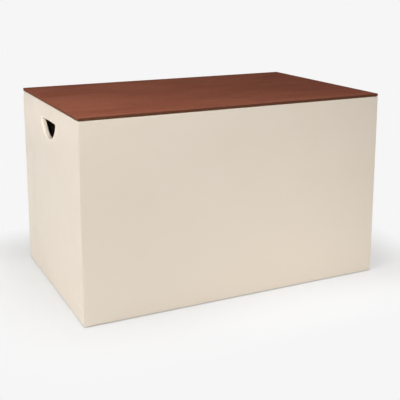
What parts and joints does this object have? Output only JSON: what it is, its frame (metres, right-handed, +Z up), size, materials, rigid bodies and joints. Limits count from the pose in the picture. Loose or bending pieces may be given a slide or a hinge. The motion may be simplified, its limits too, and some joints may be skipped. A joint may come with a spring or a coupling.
{
  "type": "storage box",
  "caption": "Rectangular storage box with mitred lacquered walls, half-moon hand holes in both ends and a thin hinged wooden lid held open by parallel-arm stays.",
  "frame": {"origin": "on the floor, at the centre of the footprint's bounding box", "axes": "+X along the length towards the box's right end as seen from the front, +Y from the front towards the hinge side, +Z up"},
  "size_m": [0.8, 0.5044, 0.4822],
  "materials": {
    "cream_lacquer": "satin cream lacquer on fibreboard",
    "lid_wood": "red-brown stain under satin lacquer, grain along the length",
    "bare_board": "cream melamine-faced fibreboard",
    "raw_timber": "planed softwood",
    "steel": "nickel-plated steel",
    "black_plastic": "moulded, fine texture",
    "nylon": "smooth nylon",
    "silicone": "translucent silicone"
  },
  "bodies": {
    "carcass": {"front_wall": "cream_lacquer", "back_wall": "cream_lacquer", "left_wall": "cream_lacquer", "right_wall": "cream_lacquer", "bottom_panel": "bare_board", "bottom_batten": "raw_timber", "corner_block_front_left": "raw_timber", "corner_block_front_right": "raw_timber", "corner_block_back_left": "raw_timber", "corner_block_back_right": "raw_timber", "glide_front_left": "nylon", "glide_front_right": "nylon", "glide_back_left": "nylon", "glide_back_right": "nylon", "lid_bumper_left": "silicone", "lid_bumper_right": "silicone", "hinge_box_leaf": "steel", "hinge_pin": "steel", "hinge_box_screw_1": "steel", "hinge_box_screw_2": "steel", "hinge_box_screw_3": "steel", "hinge_box_screw_4": "steel", "hinge_box_screw_5": "steel", "hinge_box_screw_6": "steel", "stay_base_plate_left": "steel", "stay_base_plate_right": "steel", "stay_base_screw_upper_left": "steel", "stay_base_screw_upper_right": "steel", "stay_base_screw_lower_left": "steel", "stay_base_screw_lower_right": "steel", "stay_housing_left": "black_plastic", "stay_housing_right": "black_plastic", "stay_adjuster_left": "steel", "stay_adjuster_right": "steel"},
    "lid": {"lid_board": "lid_wood", "hinge_lid_leaf": "steel", "hinge_lid_screw_1": "steel", "hinge_lid_screw_2": "steel", "hinge_lid_screw_3": "steel", "hinge_lid_screw_4": "steel", "hinge_lid_screw_5": "steel", "hinge_lid_screw_6": "steel", "stay_lid_bracket_left": "steel", "stay_lid_bracket_right": "steel", "stay_bracket_screw_front_left": "steel", "stay_bracket_screw_front_right": "steel", "stay_bracket_screw_back_left": "steel", "stay_bracket_screw_back_right": "steel", "stay_lid_rivet_left": "steel", "stay_lid_rivet_right": "steel"},
    "stay_arm_left": {"stay_arm_left": "steel", "stay_shaft_left": "steel", "stay_elbow_rivet_left": "steel"},
    "stay_link_left": {"stay_link_left": "steel"},
    "stay_arm_right": {"stay_arm_right": "steel", "stay_shaft_right": "steel", "stay_elbow_rivet_right": "steel"},
    "stay_link_right": {"stay_link_right": "steel"}
  },
  "joints": [
    {"name": "lid_hinge", "type": "hinge", "parent": "carcass", "child": "lid", "pos_m": [0, 0.25015, 0.4743], "axis": [-1, 0, 0], "range_deg": [0, 85]},
    {"name": "stay_arm_pivot_left", "type": "hinge", "parent": "carcass", "child": "stay_arm_left", "pos_m": [-0.37, 0.20775, 0.3848], "axis": [-1, 0, 0], "range_deg": [0, 85]},
    {"name": "stay_elbow_left", "type": "hinge", "parent": "stay_arm_left", "child": "stay_link_left", "pos_m": [-0.37, 0.08575, 0.3657], "axis": [-1, 0, 0], "range_deg": [-85, 0]},
    {"name": "stay_arm_pivot_right", "type": "hinge", "parent": "carcass", "child": "stay_arm_right", "pos_m": [0.37, 0.20775, 0.3848], "axis": [-1, 0, 0], "range_deg": [0, 85]},
    {"name": "stay_elbow_right", "type": "hinge", "parent": "stay_arm_right", "child": "stay_link_right", "pos_m": [0.37, 0.08575, 0.3657], "axis": [-1, 0, 0], "range_deg": [-85, 0]}
  ],
  "couplings": [
    {"joint": "stay_arm_pivot_left", "follows": "lid_hinge", "ratio": 1},
    {"joint": "stay_elbow_left", "follows": "lid_hinge", "ratio": -1},
    {"joint": "stay_arm_pivot_right", "follows": "lid_hinge", "ratio": 1},
    {"joint": "stay_elbow_right", "follows": "lid_hinge", "ratio": -1}
  ]
}
